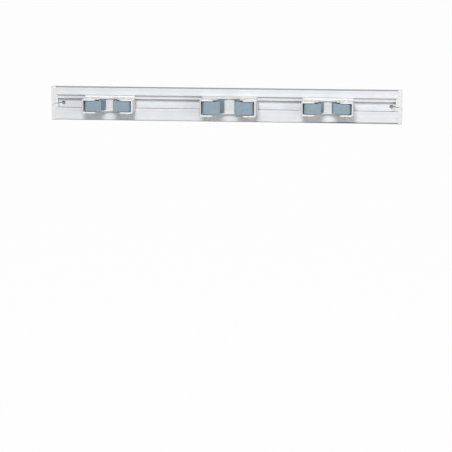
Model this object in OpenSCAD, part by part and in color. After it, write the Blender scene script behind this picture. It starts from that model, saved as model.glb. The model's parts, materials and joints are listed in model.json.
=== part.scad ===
// Wall rail with three sliding holders for tool handles, in millimetres.
// The origin is the centre of the rail's wall face, +X runs along the rail,
// -Y points away from the wall and +Z is up.

/* [Rail] */
// Length of the aluminium profile without its end caps
rail_length = 526; // [500:1:640]
// Height of the profile
rail_height = 51; // [50:0.5:60]
// Depth of the profile, from the wall to the front of its bands
rail_depth = 12; // [12:0.5:16]
// Thickness of the profile's walls
rail_wall = 1.6; // [1.4:0.1:2]
// Height of the slot that the carriages run in
slot_opening = 14; // [12.6:0.2:14.4]
// Height of the step under the upper band, above the middle of the rail
step_height = 13.5; // [13.4:0.1:14]
// Distance of each wall hole from the end of the profile
hole_inset = 10; // [9:0.5:13]
// Diameter of the wall holes
hole_d = 5.5; // [4:0.1:6.5]

/* [End caps] */
// Width of the visible part of an end cap
cap_width = 7; // [4:0.5:10]
// How far a cap stands proud of the profile's outline
cap_proud = 0.4; // [0.2:0.1:1]

/* [Holders] */
// Handle diameter that the two outer holders are made for
small_grip_d = 25; // [22:0.5:28]
// Handle diameter that the middle holder is made for
large_grip_d = 32; // [29:0.5:34]
// Height of the jaws in the outer holders
small_jaw_h = 16; // [14:0.5:18]
// Height of the jaws in the middle holder
large_jaw_h = 20; // [18:0.5:21]
// Thickness of a carriage's top and bottom flanges
flange_t = 2.1; // [1.8:0.1:2.4]
// Thickness of a carriage's side walls
side_wall = 2.5; // [1.8:0.1:2.6]
// Diameter of the pivot pins
pin_d = 5; // [4:0.1:5.4]
// Where the left holder stands along the rail
place_1 = -178; // [-185:1:-170]
// Where the middle holder stands along the rail
place_2 = 7; // [0:1:12]
// Where the right holder stands along the rail
place_3 = 157; // [150:1:165]

/* [Hidden] */
$fn = 64;

// profile section, measured outward from the wall
half_l = rail_length / 2;
half_h = rail_height / 2;
step_d = 3.8;
lip_t = 2;
lip_front = rail_depth - step_d;
lip_back = lip_front - lip_t;
floor_t = 2;
slot_rise = 0.7;
slot_low = slot_rise - slot_opening / 2;
slot_high = slot_rise + slot_opening / 2;
under_half = step_height - 0.9;
cell_low = step_height + rail_wall;
cell_high = half_h - rail_wall;
cell_back = rail_wall;
cell_front = rail_depth - rail_wall - 0.2;
band_r = 1.5;
dish_edge = 1.3;
dish_sag = 0.12;
hole_x = half_l - hole_inset;
slit_w = 1.2;

// end caps
cap_r = 2;
cap_fit = 0.15;
plug_l = 10;
plug_wall = 1.5;
face_t = 2;
tongue_l = 3.1;
tongue_front = rail_depth - 0.6;
groove_d = 1.4;
curl_r = 1.7;
curl_start = 1.8;

// carriage running in the profile
run = 0.3;
foot_half_l = 18;
foot_half_h = under_half - 0.5;
foot_back = floor_t + 1.2;
back_wall = 1.8;
plate_back = lip_front + run;
body_back = rail_depth + 0.4;
plate_front = body_back + back_wall;
plate_in = 1;
mouth_gap = 2;
mouth_room = 6;
mouth_depth = 12.1;
mouth_r = 3;
mouth_sweep = 5;
face_r = 2.5;

// one size of holder, from the handle it is made for
barrel_r = 7.2;
corner_r = 5.6;
jaw_gap = 0.7;
bush_r = 4.2;
bush_gap = 0.05;
bush_proud = 0.35;
flare_r = 4.5;
nose_r = 4;
heel_room = 2.2;
heel_back = plate_front + heel_room;
heel_wall = 2.3;
heel_l = 6.5;
heel_chamfer = 1.2;
tip_t = 2;
front_lip = 1.8;
pin_out = 15.8;
pin_behind = 9;
barrel_room = 1.5;
groove_r = 0.6;
groove_angles = [-38, -14, 10, 30];
pocket_wall = 2.2;
pocket_web = 4;

// snap pins
pin_fit = 0.1;
head_r = 4.2;
head_t = 0.8;
head_chamfer = 0.5;
dimple_r = 2.4;
barb_l = 5.8;
barb_tip_r = 1.2;
barb_proud = 0.7;
split_w = 1.2;

function grip_r(big) = (big ? large_grip_d : small_grip_d) / 2;
function jaw_h(big) = big ? large_jaw_h : small_jaw_h;
function axis_d(big) = heel_back + heel_wall + grip_r(big);
function tip_x(big) = grip_r(big) * 0.71;
function tip_d(big) = axis_d(big) + sqrt(pow(grip_r(big), 2) - pow(tip_x(big), 2));
function jaw_front(big) = tip_d(big) + tip_t;
function front_d(big) = jaw_front(big) + front_lip;
function pin_x(big) = grip_r(big) + pin_out;
function pin_y(big) = jaw_front(big) - pin_behind;
function half_w(big) = pin_x(big) + barrel_r + barrel_room + side_wall;
function body_half_h(big) = jaw_h(big) / 2 + jaw_gap + flange_t;
function heel_x(big) = grip_r(big) * 0.5;
function tail_x(big) = heel_x(big) + heel_l;
function flare_d(big) = body_back + flare_r;
// direction, seen from the pin, in which a jaw's back line leaves its barrel
function tail_gap(big) = [tail_x(big) - pin_x(big), heel_back - pin_y(big)];
function tail_turn(big) = atan2(tail_gap(big)[1], tail_gap(big)[0]) + acos(barrel_r / norm(tail_gap(big)));

rail();
cap_left();
cap_right();
carriage_1();
jaw_1_left();
jaw_1_right();
bush_1_left();
bush_1_right();
pin_1_left();
pin_1_right();
carriage_2();
jaw_2_left();
jaw_2_right();
bush_2_left();
bush_2_right();
pin_2_left();
pin_2_right();
carriage_3();
jaw_3_left();
jaw_3_right();
bush_3_left();
bush_3_right();
pin_3_left();
pin_3_right();

// rectangle in the profile's section, from depth a to b and height c to e
module sect(a, b, c, e) {
    translate([-b, c]) square([b - a, e - c]);
}

// outline with the two front corners rounded
module front_rounded(depth, half, r) {
    sect(0, depth - r, -half, half);
    sect(0, depth, -half + r, half - r);
    for (s = [-1, 1]) translate([-(depth - r), s * (half - r)]) circle(r);
}

// extrudes a section along the rail, from x = a to x = b
module along(a, b) {
    translate([a, 0, 0]) rotate([90, 0, 90]) linear_extrude(b - a) children();
}

// shallow dish in a band's face, between heights c and e
module dish(c, e) {
    chord = e - c - 2 * dish_edge;
    r = chord * chord / (8 * dish_sag) + dish_sag / 2;
    translate([-(rail_depth - dish_sag + r), (c + e) / 2]) circle(r, $fn = 240);
}

module rail_section() {
    difference() {
        front_rounded(rail_depth, half_h, band_r);
        // step above the slot, slot mouth and the undercut behind the lips
        sect(lip_front, rail_depth + 1, slot_low, step_height);
        sect(lip_back - 0.1, lip_front + 0.1, slot_low, slot_high);
        sect(floor_t, lip_back, -under_half, under_half);
        // hollow behind each band
        for (s = [-1, 1]) scale([1, s]) sect(cell_back, cell_front, cell_low, cell_high);
        dish(step_height, half_h);
        dish(-half_h, slot_low);
    }
}

module rail() {
    color("#c9ccd1") difference() {
        along(-half_l, half_l) rail_section();
        for (s = [-1, 1]) {
            translate([s * hole_x, 1, 0]) rotate([90, 0, 0]) cylinder(h = floor_t + 2, d = hole_d);
            // slit from the wall hole out to the end
            translate([s > 0 ? hole_x : -half_l - 1, -floor_t - 1, -slit_w / 2])
                cube([hole_inset + 1, floor_t + 2, slit_w]);
        }
    }
}

// quarter of a ring for the curved groove, in the quadrant sx, sy
module curl(sx, sy) {
    side = curl_r + slit_w;
    intersection() {
        difference() {
            circle(curl_r + slit_w / 2);
            circle(curl_r - slit_w / 2);
        }
        scale([sx, sy]) square(side);
    }
}

// cap for the end at +X
module cap() {
    difference() {
        union() {
            along(half_l, half_l + cap_width) front_rounded(rail_depth + cap_proud, half_h + cap_proud, cap_r);
            // plugs in the hollow bands
            for (s = [-1, 1]) along(half_l - plug_l, half_l) scale([1, s])
                sect(cell_back + cap_fit, cell_front - cap_fit, cell_low + cap_fit, cell_high - cap_fit);
            // tongue in the slot, with its cover over the upper lip
            along(half_l - tongue_l, half_l) {
                sect(floor_t + cap_fit, lip_back - cap_fit, -under_half + cap_fit, under_half - cap_fit);
                sect(floor_t + cap_fit, tongue_front, slot_low + cap_fit, slot_high - cap_fit);
                sect(lip_front + cap_fit, tongue_front, slot_low + cap_fit, step_height - cap_fit);
            }
        }
        // hollows in the plugs
        for (s = [-1, 1]) along(half_l - plug_l - 1, half_l + cap_width - face_t) scale([1, s])
            sect(cell_back + cap_fit + plug_wall, cell_front - cap_fit - plug_wall,
                cell_low + cap_fit + plug_wall, cell_high - cap_fit - plug_wall);
        // split through the tongue, and its curved groove on the face
        translate([half_l - tongue_l - 1, -rail_depth, -slit_w / 2])
            cube([tongue_l + curl_start, rail_depth - floor_t, slit_w]);
        translate([half_l, -rail_depth - cap_proud - 1, 0]) rotate([-90, 0, 0]) linear_extrude(groove_d + 1) {
            translate([-1, -slit_w / 2]) square([curl_start + 1, slit_w]);
            translate([curl_start, curl_r]) curl(1, -1);
            translate([curl_start + 2 * curl_r, curl_r]) curl(-1, 1);
            translate([curl_start + 2 * curl_r, 2 * curl_r - slit_w / 2]) square([cap_width, slit_w]);
        }
    }
}

module cap_right() {
    color("#e3e4e6") cap();
}

module cap_left() {
    color("#e3e4e6") mirror([1, 0, 0]) cap();
}

// plan outline of a carriage, pulled in by t
module body_plan(big, t, back, front) {
    w = half_w(big) - t;
    r = flare_r - t;
    c = half_w(big) - flare_r;
    f = flare_d(big);
    translate([-c, -front]) square([2 * c, front - back]);
    translate([-w, -(front - nose_r)]) square([2 * w, front - nose_r - f]);
    translate([-(w - nose_r), -front]) square([2 * (w - nose_r), front - f]);
    for (s = [-1, 1]) {
        translate([s * c, -f]) circle(r);
        translate([s * (w - nose_r), -(front - nose_r)]) circle(nose_r);
    }
}

// mouth in a flange: round the handle, wider in front of it, swept out to the front edge
module mouth_plan(big) {
    wide = grip_r(big) + mouth_room;
    edge = wide + mouth_sweep;
    f = front_d(big);
    bend = f - mouth_sweep;
    deep = f - mouth_depth;
    translate([0, -axis_d(big)]) circle(grip_r(big) + mouth_gap);
    translate([-(wide - mouth_r), -(bend + 0.1)]) square([2 * (wide - mouth_r), bend + 0.1 - deep]);
    translate([-wide, -(bend + 0.1)]) square([2 * wide, bend + 0.1 - deep - mouth_r]);
    for (s = [-1, 1]) translate([s * (wide - mouth_r), -(deep + mouth_r)]) circle(mouth_r);
    difference() {
        translate([-edge, -(f + 1)]) square([2 * edge, mouth_sweep + 1]);
        for (s = [-1, 1]) translate([s * edge, -bend]) circle(mouth_sweep);
    }
}

// what a carriage's four front edges lose to their rounding, seen from the front
module face_corners(w, h) {
    for (sx = [-1, 1], sz = [-1, 1])
        translate([sx * (w - face_r), sz * (h - face_r)]) scale([sx, sz]) difference() {
            square(face_r + 1);
            circle(face_r);
        }
}

module carriage(big) {
    h = body_half_h(big);
    inner = jaw_h(big) / 2 + jaw_gap;
    room_half = half_w(big) - side_wall;
    plate_half = half_w(big) - plate_in;
    neck_low = slot_low + run;
    color("#f1f1ee") difference() {
        union() {
            difference() {
                translate([0, 0, -h]) linear_extrude(2 * h) body_plan(big, 0, body_back, front_d(big));
                // room for the jaws, open at the front
                translate([0, 0, -inner]) linear_extrude(2 * inner) {
                    body_plan(big, side_wall, plate_front, front_d(big));
                    translate([-room_half, -(front_d(big) + 1)])
                        square([2 * room_half, front_d(big) + 1 - flare_d(big)]);
                }
                translate([0, 0, -h - 1]) linear_extrude(2 * h + 2) mouth_plan(big);
                rotate([90, 0, 0]) linear_extrude(front_d(big) + 1) face_corners(half_w(big), h);
            }
            // plate against the upper lip, neck in the slot and foot behind the lips
            translate([-plate_half, -plate_front, neck_low])
                cube([2 * plate_half, plate_front - plate_back, step_height - run - neck_low]);
            translate([-foot_half_l, -plate_front, neck_low])
                cube([2 * foot_half_l, plate_front - foot_back, slot_opening - 2 * run]);
            translate([-foot_half_l, -(lip_back - run), -foot_half_h])
                cube([2 * foot_half_l, lip_back - run - foot_back, 2 * foot_half_h]);
        }
        for (s = [-1, 1]) translate([s * pin_x(big), -pin_y(big), -h - 1])
            cylinder(h = 2 * h + 2, d = pin_d + pin_fit);
    }
}

// plan of a right-hand jaw: barrel round the pin, front block, heel behind the handle
module jaw_plan(big) {
    px = pin_x(big);
    pd = pin_y(big);
    hx = heel_x(big);
    turn = tail_turn(big);
    f = jaw_front(big);
    difference() {
        union() {
            translate([px, -pd]) circle(barrel_r);
            translate([px + barrel_r - corner_r, -(f - corner_r)]) circle(corner_r);
            polygon([
                [tip_x(big), -f],
                [px + barrel_r - corner_r, -f],
                [px + barrel_r - corner_r, -(f - corner_r)],
                [px + barrel_r, -(f - corner_r)],
                [px + barrel_r, -pd],
                [px, -pd],
                [px + barrel_r * cos(turn), -(pd + barrel_r * sin(turn))],
                [tail_x(big), -heel_back],
                [hx + heel_chamfer, -heel_back],
                [hx, -(heel_back + heel_chamfer)],
                [hx, -axis_d(big)],
                [tip_x(big), -axis_d(big)]
            ]);
        }
        translate([0, -axis_d(big)]) circle(grip_r(big), $fn = 96);
        translate([px, -pd]) circle(bush_r);
        // fine grooves down the gripping face
        for (a = groove_angles)
            translate([grip_r(big) * cos(a), -(axis_d(big) + grip_r(big) * sin(a))]) circle(groove_r, $fn = 24);
    }
}

// hollow that keeps a jaw's walls even, between barrel, gripping face, front and back line
module pocket_plan(big) {
    px = pin_x(big);
    pd = pin_y(big);
    turn = tail_turn(big);
    f = jaw_front(big) - pocket_wall;
    inset_r = barrel_r - pocket_wall;
    difference() {
        polygon([
            [tip_x(big), -f],
            [px, -f],
            [px, -pd],
            [px + inset_r * cos(turn), -(pd + inset_r * sin(turn))],
            [tail_x(big) - pocket_wall * cos(turn), -(heel_back - pocket_wall * sin(turn))]
        ]);
        translate([0, -axis_d(big)]) circle(grip_r(big) + pocket_wall, $fn = 96);
        translate([px, -pd]) circle(barrel_r);
    }
}

module jaw(big) {
    h = jaw_h(big) / 2;
    color("#8f9ea8") difference() {
        translate([0, 0, -h]) linear_extrude(2 * h) jaw_plan(big);
        translate([0, 0, pocket_web / 2]) linear_extrude(h) pocket_plan(big);
        translate([0, 0, -pocket_web / 2 - h]) linear_extrude(h) pocket_plan(big);
    }
}

module bush(big) {
    h = jaw_h(big) / 2 + bush_proud;
    color("#55585c") translate([pin_x(big), -pin_y(big), -h]) difference() {
        cylinder(h = 2 * h, r = bush_r);
        translate([0, 0, -1]) cylinder(h = 2 * h + 2, d = pin_d + 2 * bush_gap);
    }
}

// snap pin: head on the top flange, split barb under the bottom one
module pin(big) {
    h = body_half_h(big);
    barb_r = pin_d / 2 + barb_proud;
    color("#d9dadb") translate([pin_x(big), -pin_y(big), 0]) difference() {
        union() {
            translate([0, 0, -h - 0.5]) cylinder(h = 2 * h + 1, d = pin_d);
            translate([0, 0, h]) cylinder(h = head_t, r = head_r);
            translate([0, 0, h + head_t]) cylinder(h = head_chamfer, r1 = head_r, r2 = head_r - head_chamfer);
            translate([0, 0, -h - barb_l]) cylinder(h = barb_l, r1 = barb_tip_r, r2 = barb_r);
        }
        translate([0, 0, h + head_t]) cylinder(h = head_chamfer + 1, r = dimple_r);
        translate([-barb_r - 1, -split_w / 2, -h - barb_l - 1])
            cube([2 * barb_r + 2, split_w, barb_l + 1 + flange_t - jaw_gap / 2]);
    }
}

module at(place) {
    translate([place, 0, 0]) children();
}

module flip() {
    mirror([1, 0, 0]) children();
}

module carriage_1() { at(place_1) carriage(false); }
module jaw_1_left() { at(place_1) flip() jaw(false); }
module jaw_1_right() { at(place_1) jaw(false); }
module bush_1_left() { at(place_1) flip() bush(false); }
module bush_1_right() { at(place_1) bush(false); }
module pin_1_left() { at(place_1) flip() pin(false); }
module pin_1_right() { at(place_1) pin(false); }

module carriage_2() { at(place_2) carriage(true); }
module jaw_2_left() { at(place_2) flip() jaw(true); }
module jaw_2_right() { at(place_2) jaw(true); }
module bush_2_left() { at(place_2) flip() bush(true); }
module bush_2_right() { at(place_2) bush(true); }
module pin_2_left() { at(place_2) flip() pin(true); }
module pin_2_right() { at(place_2) pin(true); }

module carriage_3() { at(place_3) carriage(false); }
module jaw_3_left() { at(place_3) flip() jaw(false); }
module jaw_3_right() { at(place_3) jaw(false); }
module bush_3_left() { at(place_3) flip() bush(false); }
module bush_3_right() { at(place_3) bush(false); }
module pin_3_left() { at(place_3) flip() pin(false); }
module pin_3_right() { at(place_3) pin(false); }
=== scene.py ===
import json
import math

import bmesh
import bpy
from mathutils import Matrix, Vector
from mathutils.geometry import tessellate_polygon


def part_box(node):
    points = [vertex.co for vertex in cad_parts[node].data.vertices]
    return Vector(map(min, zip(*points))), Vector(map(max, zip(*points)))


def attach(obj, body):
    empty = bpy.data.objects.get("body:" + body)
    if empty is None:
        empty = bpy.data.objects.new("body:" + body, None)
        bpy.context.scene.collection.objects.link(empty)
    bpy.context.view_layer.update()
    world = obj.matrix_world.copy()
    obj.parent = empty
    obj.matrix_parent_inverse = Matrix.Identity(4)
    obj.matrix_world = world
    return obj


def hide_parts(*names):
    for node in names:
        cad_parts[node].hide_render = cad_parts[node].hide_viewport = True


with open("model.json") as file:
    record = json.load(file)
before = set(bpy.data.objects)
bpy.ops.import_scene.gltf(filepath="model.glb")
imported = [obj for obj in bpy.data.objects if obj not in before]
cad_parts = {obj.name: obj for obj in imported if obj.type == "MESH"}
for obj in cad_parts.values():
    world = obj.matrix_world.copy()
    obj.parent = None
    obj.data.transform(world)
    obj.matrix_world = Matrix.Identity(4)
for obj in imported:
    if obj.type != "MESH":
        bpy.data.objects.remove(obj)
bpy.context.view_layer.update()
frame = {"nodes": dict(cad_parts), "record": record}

nodes = frame["nodes"]
record = frame["record"]
scene = bpy.context.scene
scene.view_settings.view_transform = "Standard"
mm = 0.001
white = (1.0, 1.0, 1.0, 1.0)
print("frame loaded:", len(nodes), "solids")


# one socket of a node tree, so that shader sums read as plain expressions
class Feed:
    def __init__(self, tree, socket=None):
        self.tree = tree
        self.socket = socket

    def node(self, kind, settings=None, values=None, out=0):
        made = self.tree.nodes.new(kind)
        for key, value in (settings or {}).items():
            setattr(made, key, value)
        for key, value in (values or {}).items():
            if isinstance(value, Feed):
                self.tree.links.new(value.socket, made.inputs[key])
            else:
                made.inputs[key].default_value = value
        return Feed(self.tree, made.outputs[out] if len(made.outputs) else None)

    def maths(self, operation, first, second=0.0):
        return self.node("ShaderNodeMath", {"operation": operation}, {0: first, 1: second})

    def __add__(self, other):
        return self.maths("ADD", self, other)

    def __radd__(self, other):
        return self.maths("ADD", other, self)

    def __sub__(self, other):
        return self.maths("SUBTRACT", self, other)

    def __rsub__(self, other):
        return self.maths("SUBTRACT", other, self)

    def __mul__(self, other):
        return self.maths("MULTIPLY", self, other)

    def __rmul__(self, other):
        return self.maths("MULTIPLY", other, self)

    def __abs__(self):
        return self.maths("ABSOLUTE", self)

    # values from low to high become 0 to 1, with soft ends
    def between(self, low, high):
        ends = {"Value": self, "From Min": low, "From Max": high}
        return self.node("ShaderNodeMapRange", {"interpolation_type": "SMOOTHSTEP"}, ends)

    def stretched(self, factors):
        return self.node("ShaderNodeVectorMath", {"operation": "MULTIPLY"}, {0: self, 1: factors})

    def noise(self, scale, detail=3.0, rough=0.55):
        values = {"Vector": self, "Scale": scale, "Detail": detail, "Roughness": rough}
        return self.node("ShaderNodeTexNoise", None, values)

    def part(self, axis):
        return self.node("ShaderNodeSeparateXYZ", None, {0: self}, out=axis)

    # mix of two colours, which may be feeds; the node's colour sockets are 6, 7 and 2
    def tint(self, dark, light):
        ends = {0: self, 6: dark, 7: light}
        for key in (6, 7):
            if not isinstance(ends[key], Feed):
                ends[key] = (*ends[key], 1.0)
        return self.node("ShaderNodeMix", {"data_type": "RGBA"}, ends, out=2)

    def bump(self, strength, depth):
        values = {"Strength": strength, "Distance": depth * mm, "Height": self}
        return self.node("ShaderNodeBump", None, values)


def within(limits, share):
    low, high = limits
    return low + (high - low) * share


def startFinish(name):
    made = bpy.data.materials.new(name)
    made.use_nodes = True
    shader = next(n for n in made.node_tree.nodes if n.type == "BSDF_PRINCIPLED")
    start = Feed(made.node_tree)
    return made, shader, start, start.node("ShaderNodeTexCoord", out="Object")


def facingUp(start):
    return start.node("ShaderNodeNewGeometry", out="Normal").part("Z")


def endFinish(shader, varying, fixed):
    for key, feed in varying.items():
        feed.tree.links.new(feed.socket, shader.inputs[key])
    for key, value in fixed.items():
        shader.inputs[key].default_value = value


# satin anodised extrusion: die lines along X, burnished lips, painted shade on the ledges and the lower
# edge, painted light on the slot floor
aluminium = {
    "dull": (0.695, 0.708, 0.73),
    "clear": (0.762, 0.774, 0.795),
    "burnished": (0.86, 0.866, 0.876),
    # painted shade: colour for faces that point up
    "dust": (0.29, 0.288, 0.284),
    # painted shade, darker: lower lip and lower edge
    "grime": (0.11, 0.109, 0.106),
    # painted light: paler colours for the slot floor
    "slotDull": (0.78, 0.80, 0.825),
    "slotClear": (0.855, 0.875, 0.90),
    "metallic": 0.34,
    "rough": (0.52, 0.68),
    "refraction": 1.6,
    # noises: scale, detail and roughness
    "drawnStretch": (0.0012, 1.0, 1.0),
    "dieLine": (1400.0, 4.0, 0.7),
    "dieBand": (260.0, 2.0),
    "handled": (34.0, 5.0, 0.62),
    "handledLimits": (0.42, 0.66),
    "scuffStretch": (0.06, 1.0, 1.0),
    "scuff": (520.0, 2.0),
    "scuffLimits": (0.66, 0.72),
    "speck": (900.0, 4.0, 0.7),
    # shares, and limits between which a value goes from none to full
    "shadeShares": (0.5, 0.4, 0.1),  # die lines, bands, handled patches
    "shadeLimits": (0.3, 0.66),
    "brightShares": (0.6, 0.35),  # lips, scuffs
    "dustShares": (0.82, 0.18),  # even, noise
    "dustLimits": (0.18, 0.62),
    "dripShares": (0.75, 0.2),  # even, handled patches
    "dripLimits": (-0.9, -0.5),
    "roughShares": (0.7, 0.3),  # die lines, handled patches
    "scuffRough": 0.06,
    "burnishedSmooth": 0.08,
    "dustRough": 0.3,
    "scuffDepth": 0.6,
    "bump": (0.12, 0.08),  # strength, depth in millimetres
    # places and widths on the profile, in millimetres
    "slotHalf": 7.0,
    "slotRise": 0.7,
    "slotDepth": (5.0, 7.0),
    "burnishedWidth": 2.2,
    "lowerEdge": -25.5,
    "dripWidth": (0.6, 1.7),
    "dripRun": (100.0, 170.0),
    "dripExtra": 0.9,
}


def makeAluminium():
    style = aluminium
    made, shader, start, where = startFinish("anodisedAluminium")
    along, depth, height = (where.part(axis) for axis in "XYZ")
    facing = facingUp(start)
    drawn = where.stretched(style["drawnStretch"])
    line, band = (drawn.noise(*style[key]) for key in ("dieLine", "dieBand"))
    handled = where.noise(*style["handled"]).between(*style["handledLimits"])
    scuff = where.stretched(style["scuffStretch"]).noise(*style["scuff"]).between(*style["scuffLimits"])
    lineShare, bandShare, handledShare = style["shadeShares"]
    shade = (line * lineShare + band * bandShare + handled * handledShare).between(*style["shadeLimits"])
    colour = shade.tint(style["dull"], style["clear"])

    # lips that the feet rub bright
    fromLip = abs(abs(height - style["slotRise"] * mm) - style["slotHalf"] * mm)
    burnished = 1.0 - fromLip.between(0.0, style["burnishedWidth"] * mm)
    burnishedShare, scuffShare = style["brightShares"]
    colour = (burnished * burnishedShare + scuff * scuffShare).tint(colour, style["burnished"])

    # painted light: a paler floor of the slot, lifting the shade under the lips
    near, far = style["slotDepth"]
    deep = depth.between(-far * mm, -near * mm)
    colour = deep.tint(colour, shade.tint(style["slotDull"], style["slotClear"]))

    # painted shade on the faces that point up, darkest on the lower lip
    least, more = style["dustShares"]
    dust = facing.between(*style["dustLimits"]) * (least + more * where.noise(*style["speck"]))
    lowDown = 1.0 - height.between(-style["slotHalf"] * mm, 0.0)
    colour = dust.tint(colour, lowDown.tint(style["dust"], style["grime"]))

    # painted shade along the lower edge, wider and darker towards the right end
    first, last = style["dripRun"]
    run = along.between(first * mm, last * mm)
    fromEdge = height - style["lowerEdge"] * mm - run * (style["dripExtra"] * mm)
    thin, wide = style["dripWidth"]
    edgeShade = (1.0 - fromEdge.between(thin * mm, wide * mm)) * facing.between(*style["dripLimits"])
    least, more = style["dripShares"]
    colour = (edgeShade * (least + more * handled)).tint(colour, run.tint(style["dust"], style["grime"]))

    lineShare, handledShare = style["roughShares"]
    rough = within(style["rough"], line * lineShare + handled * handledShare)
    rough = rough + scuff * style["scuffRough"] - burnished * style["burnishedSmooth"]
    endFinish(
        shader,
        {
            "Base Color": colour,
            "Roughness": rough + dust * style["dustRough"],
            "Metallic": (1.0 - dust) * style["metallic"],
            "Normal": (line + scuff * style["scuffDepth"]).bump(*style["bump"]),
        },
        {"IOR": style["refraction"]},
    )
    return made


# moulded thermoplastic: fine spark grain, faint flow marks, rubbed patches
mouldedSkin = {
    "grainNoise": (3.0, 0.6),
    "flowStretch": (1.0, 1.0, 2.5),
    "rubbedScale": 4.5,  # times the scale of the flow marks
    "rubbedNoise": (5.0, 0.66),
    "rubbedLimits": (0.45, 0.68),
    "shadeShares": (0.75, 0.25),
    "shadeLimits": (0.3, 0.62),
    "rubbedShade": 0.3,
    "dustLimits": (0.5, 0.95),
    "dustShares": (0.7, 0.3),
    "roughShares": (0.5, 0.5),
    "rubbedDepth": 0.25,
    "bump": (0.14, 0.07),
    "refraction": 1.49,
}
whitePlastic = {
    "shaded": (0.81, 0.81, 0.805),
    "clean": (0.86, 0.86, 0.855),
    # painted shade: darker colour for the faces that point up
    "dust": (0.73, 0.74, 0.735),
    "grain": 1700.0,
    "flow": 60.0,
    "rough": (0.48, 0.64),
}
capPlastic = {
    "shaded": (0.74, 0.742, 0.745),
    "clean": (0.80, 0.802, 0.805),
    "grain": 1500.0,
    "flow": 70.0,
    "rough": (0.40, 0.58),
}
pinNylon = {
    "shaded": (0.78, 0.78, 0.775),
    "clean": (0.84, 0.84, 0.835),
    # painted shade: grey for the pin heads' tops, in place of the dimples' shade
    "dust": (0.33, 0.33, 0.325),
    "grain": 2200.0,
    "flow": 160.0,
    "rough": (0.30, 0.44),
}
bushNylon = {
    "shaded": (0.06, 0.062, 0.066),
    "clean": (0.10, 0.103, 0.108),
    "grain": 2200.0,
    "flow": 160.0,
    "rough": (0.34, 0.5),
}


def makeMoulded(name, style):
    skin = mouldedSkin
    made, shader, start, where = startFinish(name)
    grain = where.noise(style["grain"], *skin["grainNoise"])
    flow = where.stretched(skin["flowStretch"]).noise(style["flow"])
    rubbed = where.noise(style["flow"] * skin["rubbedScale"], *skin["rubbedNoise"])
    rubbed = rubbed.between(*skin["rubbedLimits"])
    flowShare, grainShare = skin["shadeShares"]
    shade = (flow * flowShare + grain * grainShare).between(*skin["shadeLimits"])
    shade = shade * (1.0 - rubbed * skin["rubbedShade"])
    colour = shade.tint(style["shaded"], style["clean"])
    # painted shade on the faces that point up
    if "dust" in style:
        least, more = skin["dustShares"]
        dust = facingUp(start).between(*skin["dustLimits"]) * (least + more * rubbed)
        colour = dust.tint(colour, style["dust"])
    grainShare, rubbedShare = skin["roughShares"]
    endFinish(
        shader,
        {
            "Base Color": colour,
            "Roughness": within(style["rough"], grain * grainShare + rubbed * rubbedShare),
            "Normal": (grain + rubbed * skin["rubbedDepth"]).bump(*skin["bump"]),
        },
        {"IOR": skin["refraction"]},
    )
    return made


# moulded rubber: fine pores, pale bloom, smoother and darker where it grips, painted shade inside the
# pockets
greyRubber = {
    "deep": (0.236, 0.313, 0.377),
    "bloom": (0.292, 0.374, 0.438),
    "worn": (0.185, 0.243, 0.285),
    # painted shade: near black inside the pockets
    "hollow": (0.05, 0.058, 0.065),
    "grain": (1300.0, 4.0, 0.65),
    "mottle": (240.0, 5.0, 0.6),
    "pores": (2600.0, 2.0),
    "poreLimits": (0.58, 0.7),
    "wornLimits": (0.25, 0.6),
    "shadeShares": (0.55, 0.45),
    "shadeLimits": (0.3, 0.68),
    "rough": (0.58, 0.78),
    "roughShares": (0.5, 0.5),
    "wornSmooth": 0.14,
    "poreDepth": 0.5,
    "bump": (0.3, 0.1),
    "refraction": 1.5,
    "specular": 0.4,
}


def makeRubber():
    style = greyRubber
    made, shader, start, where = startFinish("greyRubber")
    grain, mottle = (where.noise(*style[key]) for key in ("grain", "mottle"))
    pores = where.noise(*style["pores"]).between(*style["poreLimits"])
    # the hollow attribute marks the pockets, which get painted shade
    gripped, hollow = (start.node("ShaderNodeAttribute", {"attribute_name": key}, out="Fac")
                       for key in ("gripped", "hollow"))
    worn = gripped * mottle.between(*style["wornLimits"])
    mottleShare, grainShare = style["shadeShares"]
    shade = (mottle * mottleShare + grain * grainShare).between(*style["shadeLimits"])
    colour = worn.tint(shade.tint(style["deep"], style["bloom"]), style["worn"])
    grainShare, mottleShare = style["roughShares"]
    rough = within(style["rough"], grain * grainShare + mottle * mottleShare)
    endFinish(
        shader,
        {
            "Base Color": hollow.tint(colour, style["hollow"]),
            "Roughness": rough - worn * style["wornSmooth"],
            "Normal": (grain - pores * style["poreDepth"]).bump(*style["bump"]),
        },
        {"IOR": style["refraction"], "Specular IOR Level": style["specular"]},
    )
    return made


finishes = {
    "anodised_aluminium": makeAluminium(),
    "white_plastic": makeMoulded("whitePlastic", whitePlastic),
    "cap_plastic": makeMoulded("capPlastic", capPlastic),
    "pin_plastic": makeMoulded("pinNylon", pinNylon),
    "bush_plastic": makeMoulded("bushNylon", bushNylon),
    "grey_rubber": makeRubber(),
}
print("finishes made:", ", ".join(finishes))


def dress(piece, slot):
    piece.data.materials.clear()
    piece.data.materials.append(finishes[slot])


def evenShading(piece):
    shading = piece.modifiers.new("shading", "WEIGHTED_NORMAL")
    shading.keep_sharp = True


# rounded edges on the solids that stay, in millimetres and degrees
roundings = {
    "radius": {"rail": 0.35, "cap": 0.6, "carriage": 0.55, "pin": 0.2, "bush": 0.15},
    "segments": 3,
    "sharpFrom": 34.0,
    "flatUpTo": 0.4,
    "weld": 0.001,
}


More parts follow.
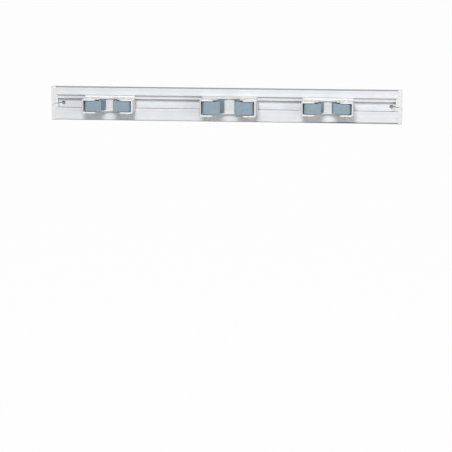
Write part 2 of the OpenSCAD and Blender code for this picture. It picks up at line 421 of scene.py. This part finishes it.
def roundEdges(piece, radius):
    weld = piece.modifiers.new("weld", "WELD")
    weld.merge_threshold = roundings["weld"] * mm
    flats = piece.modifiers.new("flats", "DECIMATE")
    flats.decimate_type = "DISSOLVE"
    flats.angle_limit = math.radians(roundings["flatUpTo"])
    edge = piece.modifiers.new("edge", "BEVEL")
    edge.width = radius * mm
    edge.segments = roundings["segments"]
    edge.limit_method = "ANGLE"
    edge.angle_limit = math.radians(roundings["sharpFrom"])
    edge.loop_slide = False  # keeps the rounding inside the solid
    evenShading(piece)
    for face in piece.data.polygons:
        face.use_smooth = True


for row in record["subparts"]:
    solid = nodes[row["node"]]
    dress(solid, row["material_slot"])
    kind = row["node"].split("_")[0]
    if kind in roundings["radius"]:
        roundEdges(solid, roundings["radius"][kind])
print("solids dressed")

# rubber jaws in plan, in millimetres: x outward from the grip's axis, d forward from the back
jaws = {
    "heelWall": 2.3,
    "heelShare": 0.5,
    "heelLength": 6.5,
    "heelChamfer": 1.2,
    "tipShare": 0.71,
    "tipThickness": 2.0,
    "tipRound": 0.9,
    "pinOut": 15.8,
    "pinBehind": 9.0,
    "barrel": 7.2,
    "corner": 5.6,
    "bush": 4.2,
    "grooves": (-38.0, -14.0, 10.0, 30.0),  # degrees round the grip
    "grooveRadius": 0.6,
    "grooveSpread": 0.92,
    "pocketWall": 2.2,
    "pocketWeb": 4.0,
    "edge": 0.8,
    "rim": 0.45,
    "wornReach": 1.5,
    "hollowReach": 1.4,
    "crease": 40.0,
    "leastStep": 0.03,
    "searchStep": 0.002,
    "leastCosine": 0.5,
}
# straight steps in each curve of the jaws
steps = {"tip": 5, "corner": 12, "barrel": 10, "land": 6, "groove": 8, "tipLand": 4,
         "pocket": 14, "bush": 40, "edge": 4}


def onCircle(centre, radius, degrees):
    turn = math.radians(degrees)
    return centre[0] + radius * math.cos(turn), centre[1] + radius * math.sin(turn)


def arc(centre, radius, first, last, count):
    return [onCircle(centre, radius, first + (last - first) * i / count) for i in range(count + 1)]


def apart(one, two):
    return math.hypot(one[0] - two[0], one[1] - two[1])


def angleFrom(centre, point):
    return math.degrees(math.atan2(point[1] - centre[1], point[0] - centre[0]))


# drops points that fall on the one before
def cleanLoop(points):
    return [p for p, before in zip(points, points[-1:] + points[:-1])
            if apart(p, before) > jaws["leastStep"]]


def jawSizes(grip, axis):
    heelBack = axis - grip - jaws["heelWall"]
    tipX = jaws["tipShare"] * grip
    tipD = axis + math.sqrt(grip ** 2 - tipX ** 2)
    front = tipD + jaws["tipThickness"]
    pin = (grip + jaws["pinOut"], front - jaws["pinBehind"])
    heelX = jaws["heelShare"] * grip
    tail = (heelX + jaws["heelLength"], heelBack)
    turn = angleFrom(pin, tail) + math.degrees(math.acos(jaws["barrel"] / apart(pin, tail)))
    return {"middle": (0.0, axis), "grip": grip, "heelBack": heelBack, "heelX": heelX, "tail": tail,
            "tip": (tipX, tipD), "front": front, "pin": pin, "turn": turn}


# outline moved into the rubber by an inset, with as many points at any inset
def jawOutline(size, inset):
    middle, pin = size["middle"], size["pin"]
    grip, front = size["grip"] + inset, size["front"] - inset
    tipX = size["tip"][0] + inset
    soft, corner, barrel = (jaws[key] - inset for key in ("tipRound", "corner", "barrel"))
    points = arc((tipX + soft, front - soft), soft, 180, 90, steps["tip"])
    points += arc((pin[0] + barrel - corner, front - corner), corner, 90, 0, steps["corner"])
    points += arc(pin, barrel, 0, size["turn"], steps["barrel"])
    # heel, where the slanting back line meets the flat end; its corner is cut at 45 degrees
    outX, outD = onCircle((0, 0), 1.0, size["turn"])
    heelX, heelBack = size["heelX"] + inset, size["heelBack"] + inset
    tailX = size["tail"][0] - inset * (1 + outD) / outX
    cut = jaws["heelChamfer"] - inset * (2 - math.sqrt(2))
    points += [(tailX, heelBack), (heelX + cut, heelBack), (heelX, heelBack + cut)]
    # gripping face from the heel round to the tip, with its grooves
    full, hollow = size["grip"], jaws["grooveRadius"] + inset
    half = math.acos((grip ** 2 + full ** 2 - hollow ** 2) / (2 * grip * full))
    spread = math.degrees(math.atan2(grip * math.sin(half), grip * math.cos(half) - full))
    spread *= jaws["grooveSpread"]
    half = math.degrees(half)
    here = -math.degrees(math.acos(heelX / grip))
    for groove in jaws["grooves"]:
        points += arc(middle, grip, here, groove - half, steps["land"])
        bottom = onCircle(middle, full, groove)
        points += arc(bottom, hollow, groove - spread, groove + spread, steps["groove"])
        here = groove + half
    return points + arc(middle, grip, here, math.degrees(math.acos(tipX / grip)), steps["tipLand"])


# hollow that keeps the walls even, between barrel, gripping face, front and back line
def pocketOutline(size):
    wall, barrel, pin, middle = jaws["pocketWall"], jaws["barrel"], size["pin"], size["middle"]
    front = size["front"] - wall
    inner = size["grip"] + wall
    frontLeft = (math.sqrt(inner ** 2 - (front - middle[1]) ** 2), front)
    frontRight = (pin[0] - math.sqrt(barrel ** 2 - (front - pin[1]) ** 2), front)
    outX, outD = onCircle((0, 0), 1.0, size["turn"])
    flat = barrel - wall
    reach = math.sqrt(barrel ** 2 - flat ** 2)
    low = (pin[0] + flat * outX + reach * outD, pin[1] + flat * outD - reach * outX)
    back = (size["tail"][0] - wall * outX, size["tail"][1] - wall * outD)
    # last corner: from the back corner towards the tip until the gripping wall
    stepX, stepD = size["tip"][0] - back[0], front - back[1]
    share, side = 0.0, back
    while apart(middle, side) > inner:
        share += jaws["searchStep"]
        side = (back[0] + share * stepX, back[1] + share * stepD)
    first, last = angleFrom(pin, frontRight), angleFrom(pin, low) % 360
    points = arc(pin, barrel, first, last, steps["pocket"]) + [back]
    first, last = angleFrom(middle, side), angleFrom(middle, frontLeft)
    return cleanLoop(points + arc(middle, inner, first, last, steps["pocket"]))


def signedArea(points):
    return sum(a[0] * b[1] - b[0] * a[1] for a, b in zip(points, points[1:] + points[:1])) / 2


# a closed outline moved inward by an amount, or outward where it is negative
def movedIn(points, amount):
    sense = 1 if signedArea(points) > 0 else -1
    moved = []
    for before, here, after in zip(points[-1:] + points[:-1], points, points[1:] + points[:1]):
        one = Vector((before[1] - here[1], here[0] - before[0])).normalized() * sense
        two = Vector((here[1] - after[1], after[0] - here[0])).normalized() * sense
        halfway = (one + two).normalized()
        push = amount / max(jaws["leastCosine"], halfway.dot(one))
        moved.append((here[0] + halfway.x * push, here[1] + halfway.y * push))
    return moved


# quarter round as pairs of inset and drop, from the flat down to the wall
def quarterRound(radius):
    turns = [math.pi / 2 * i / steps["edge"] for i in range(steps["edge"] + 1)]
    return [(radius * (1 - math.sin(t)), radius * (1 - math.cos(t))) for t in turns]


class Mesher:
    def __init__(self, size, place, mirrored):
        self.bm = bmesh.new()
        self.size = size
        self.place = place
        self.side = -1 if mirrored else 1
        self.gripped = self.bm.verts.layers.float.new("gripped")
        self.hollow = self.bm.verts.layers.float.new("hollow")

    # one loop of points at a height; each knows how near it is to the gripping face, and how much
    # painted pocket shade it takes
    def ring(self, points, z, hollow=0.0):
        made = []
        for x, d in points:
            vert = self.bm.verts.new(((self.place + self.side * x) * mm, -d * mm, z * mm))
            gap = max(0.0, apart((x, d), self.size["middle"]) - self.size["grip"])
            vert[self.gripped] = max(0.0, 1.0 - gap / jaws["wornReach"])
            vert[self.hollow] = hollow
            made.append(vert)
        return made

    def wall(self, rings):
        for low, high in zip(rings, rings[1:]):
            for i, vert in enumerate(low):
                j = (i + 1) % len(low)
                self.bm.faces.new((vert, low[j], high[j], high[i]))

    def cap(self, rings):
        verts = [v for ring in rings for v in ring]
        for corners in tessellate_polygon([[v.co for v in ring] for ring in rings]):
            self.bm.faces.new([verts[i] for i in corners])

    def finish(self, name):
        bm, crease = self.bm, math.radians(jaws["crease"])
        bmesh.ops.recalc_face_normals(bm, faces=bm.faces)
        for edge in bm.edges:
            edge.smooth = len(edge.link_faces) == 2 and edge.calc_face_angle() < crease
        for face in bm.faces:
            face.smooth = True
        mesh = bpy.data.meshes.new(name)
        bm.to_mesh(mesh)
        bm.free()
        made = bpy.data.objects.new(name, mesh)
        scene.collection.objects.link(made)
        evenShading(made)
        return made


def makeJaw(name, size, height, place, mirrored):
    mesher = Mesher(size, place, mirrored)
    half, web, reach = height / 2, jaws["pocketWeb"] / 2, jaws["hollowReach"]
    top = [(inset, half - drop) for inset, drop in quarterRound(jaws["edge"])]
    levels = [(inset, -z) for inset, z in top] + top[::-1]
    outer = [mesher.ring(jawOutline(size, inset), z) for inset, z in levels]
    mesher.wall(outer)
    bush = arc(size["pin"], jaws["bush"], 0, 360, steps["bush"])[:-1]
    bore = [mesher.ring(bush, z) for z in (-half, half)]
    mesher.wall(bore)
    # pockets from above and below, with painted shade that turns them dark from a little way in
    pocket = pocketOutline(size)
    rim = [(-inset, drop) for inset, drop in quarterRound(jaws["rim"])]
    rim += [(0.0, reach), (0.0, half - web)]
    for sign, edge, hole in ((1, outer[-1], bore[-1]), (-1, outer[0], bore[0])):
        rings = [mesher.ring(movedIn(pocket, inset), sign * (half - drop), min(1.0, drop / reach))
                 for inset, drop in rim]
        mesher.wall(rings)
        mesher.cap([rings[-1]])
        mesher.cap([edge, hole, rings[0]])
    return mesher.finish(name)


def makeJaws():
    for mount in record["mounts"]:
        if not mount["name"].startswith("handle_"):
            continue
        number = mount["name"].split("_")[-1]
        place, axis = mount["pos_m"][0] / mm, -mount["pos_m"][1] / mm
        size = jawSizes(mount["dims"]["r_mm"], axis)
        for side in ("left", "right"):
            name = f"rubberJaw_{number}_{side}"
            jaw = makeJaw(name, size, mount["dims"]["length_mm"], place, side == "left")
            dress(jaw, "grey_rubber")
            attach(jaw, f"grip_{number}_{side}")
            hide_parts(f"jaw_{number}_{side}")


makeJaws()
print("rubber jaws made")

# plain stage: pale floor in metres, and a backing behind the rail in millimetres
stageStyle = {
    "floorHeight": -0.95,
    "floorHalf": 40.0,
    "floorTone": 0.7,
    "floorGlow": 0.98,
    # painted shade: grey of the backing, darker than a pale wall
    "wallTone": 0.3,
    "wallGap": 0.6,
    "wallInset": 2.0,
}


def stagePlane(name, corners):
    mesh = bpy.data.meshes.new(name)
    mesh.from_pydata(corners, [], [tuple(range(len(corners)))])
    made = bpy.data.objects.new(name, mesh)
    scene.collection.objects.link(made)
    finish = bpy.data.materials.new(name)
    finish.use_nodes = True
    finish.node_tree.nodes.clear()
    mesh.materials.append(finish)
    return made, Feed(finish.node_tree)


def matt(start, tone):
    return start.node("ShaderNodeBsdfDiffuse", None, {"Color": (tone, tone, tone, 1.0)})


def glowing(start, kind, strength):
    return start.node(kind, None, {"Color": white, "Strength": strength})


def rayShown(start, others):
    shown = start.node("ShaderNodeLightPath", out="Is Camera Ray")
    for kind in others:
        shown = start.maths("MAXIMUM", shown, start.node("ShaderNodeLightPath", out=kind))
    return shown


def blended(start, share, first, second):
    return start.node("ShaderNodeMixShader", None, {0: share, 1: first, 2: second})


# a plane that can be looked through from its back
def frontOnly(start, shader):
    behind = start.node("ShaderNodeNewGeometry", out="Backfacing")
    clear = start.node("ShaderNodeBsdfTransparent")
    start.node("ShaderNodeOutputMaterial", None, {"Surface": blended(start, behind, shader, clear)})


def makeStage():
    half, low = stageStyle["floorHalf"], stageStyle["floorHeight"]
    corners = [(-half, -half, low), (half, -half, low), (half, half, low), (-half, half, low)]
    _, start = stagePlane("paleFloor", corners)
    glow = glowing(start, "ShaderNodeEmission", 1.0)
    shown = rayShown(start, ["Is Transmission Ray"]) * stageStyle["floorGlow"]
    frontOnly(start, blended(start, shown, matt(start, stageStyle["floorTone"]), glow))

    # the backing shows through the rail's holes and slits; its grey, darker than a pale wall, is painted
    # shade there, added to the rail's own shadow
    inset = stageStyle["wallInset"] * mm
    (x0, _, z0), (x1, y1, z1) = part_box("rail")
    x0, x1, z0, z1 = x0 + inset, x1 - inset, z0 + inset, z1 - inset
    y = y1 + stageStyle["wallGap"] * mm
    wall, start = stagePlane("coveredWall", [(x0, y, z0), (x1, y, z0), (x1, y, z1), (x0, y, z1)])
    wall.visible_shadow = wall.visible_diffuse = wall.visible_glossy = False
    frontOnly(start, matt(start, stageStyle["wallTone"]))


makeStage()

# soft key from above and in front, weak fill from the right, one lamp behind, even pale surround
lights = {
    "surround": 0.23,
    "aim": (0.0, 0.0, 0.0),
    "lamps": {
        "key": {"place": (0.0, -2.04, 1.43), "size": 0.8, "power": 45.0},
        "fill": {"place": (1.5, -1.9, 0.12), "size": 1.0, "power": 10.0},
        "back": {"place": (1.3, 1.7, 0.9), "size": 1.2, "power": 22.0},
    },
}


def aimAt(piece, target):
    piece.rotation_euler = (Vector(target) - piece.location).to_track_quat("-Z", "Y").to_euler()


def makeLights():
    world = bpy.data.worlds.new("surround")
    scene.world = world
    world.use_nodes = True
    world.node_tree.nodes.clear()
    start = Feed(world.node_tree)
    shown = rayShown(start, ["Is Glossy Ray", "Is Transmission Ray"])
    soft, plain = (glowing(start, "ShaderNodeBackground", level) for level in (lights["surround"], 1.0))
    start.node("ShaderNodeOutputWorld", None, {"Surface": blended(start, shown, soft, plain)})
    for name, style in lights["lamps"].items():
        lamp = bpy.data.lights.new(name, "AREA")
        lamp.shape = "DISK"
        lamp.size = style["size"]
        lamp.energy = style["power"]
        made = bpy.data.objects.new(name, lamp)
        made.location = style["place"]
        aimAt(made, lights["aim"])
        scene.collection.objects.link(made)


makeLights()

# camera fitted to the rail's lines: degrees to the side and down, metres, lens in millimetres
view = {
    "aim": (-0.00005, 0.0, -0.19095),
    "side": 5.717,
    "down": 11.567,
    "away": 2.6,
    "lens": 132.66,
    "sensor": 36.0,
    "farthest": 80.0,
}


def makeCamera():
    camera = bpy.data.cameras.new("photoView")
    camera.sensor_fit = "HORIZONTAL"
    camera.sensor_width = view["sensor"]
    camera.lens = view["lens"]
    camera.clip_end = view["farthest"]
    made = bpy.data.objects.new("photoView", camera)
    side, down = math.radians(view["side"]), math.radians(view["down"])
    back = Vector((math.sin(side) * math.cos(down), -math.cos(side) * math.cos(down), math.sin(down)))
    made.location = Vector(view["aim"]) + back * view["away"]
    aimAt(made, view["aim"])
    scene.collection.objects.link(made)
    scene.camera = made


makeCamera()
print("stage, lights and camera set")
